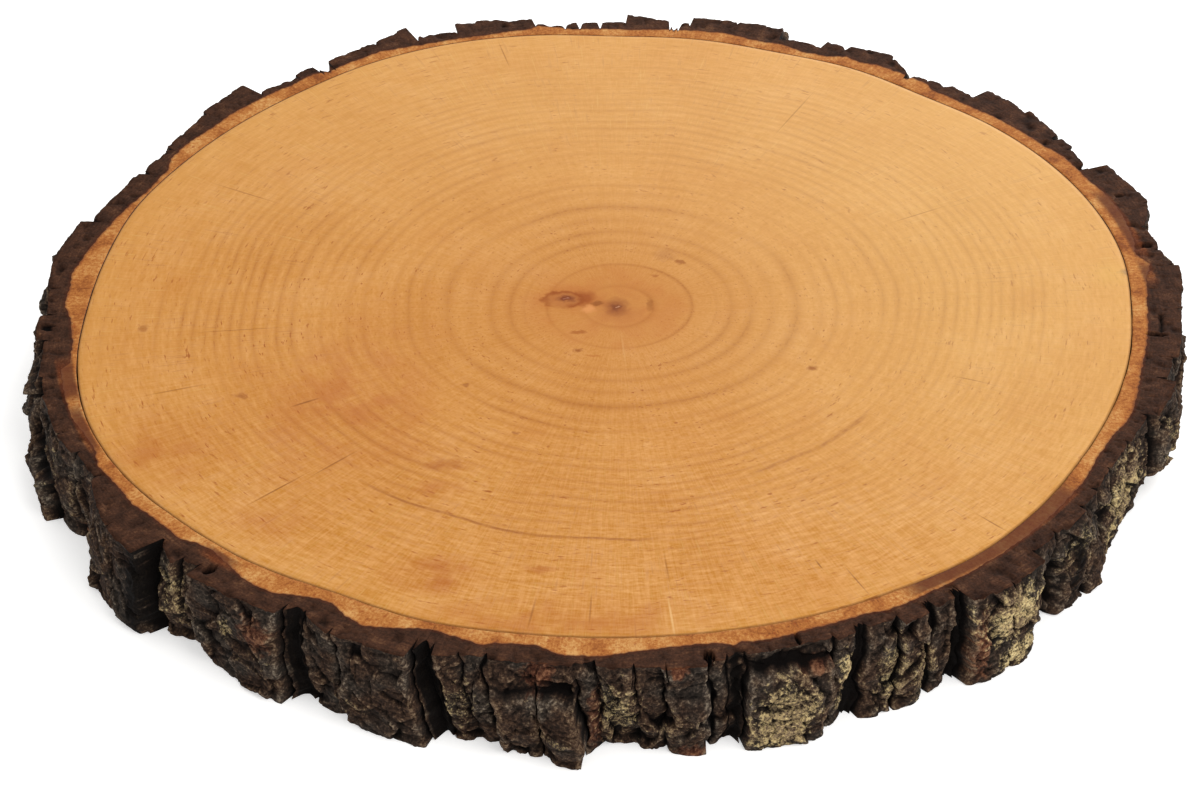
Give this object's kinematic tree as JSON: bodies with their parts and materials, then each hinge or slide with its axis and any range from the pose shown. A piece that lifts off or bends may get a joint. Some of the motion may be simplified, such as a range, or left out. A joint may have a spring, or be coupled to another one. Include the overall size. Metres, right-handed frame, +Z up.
{
  "type": "wood slice",
  "caption": "Round slice sawn across a tree trunk: a flat pale orange-tan disc of wood with rough dark plated bark left on round its edge.",
  "frame": {"origin": "under the middle of the slice's outline, on the bottom sawn face", "axes": "+Z up through the slice's thickness, from the bottom sawn face to the top one; the pictured front edge is at -Y and +X is to its right"},
  "size_m": [0.3398, 0.3402, 0.03],
  "materials": {
    "wood": "sanded",
    "bark": "rough"
  },
  "bodies": {
    "root": {"wood": "wood", "bark": "bark"}
  },
  "joints": []
}
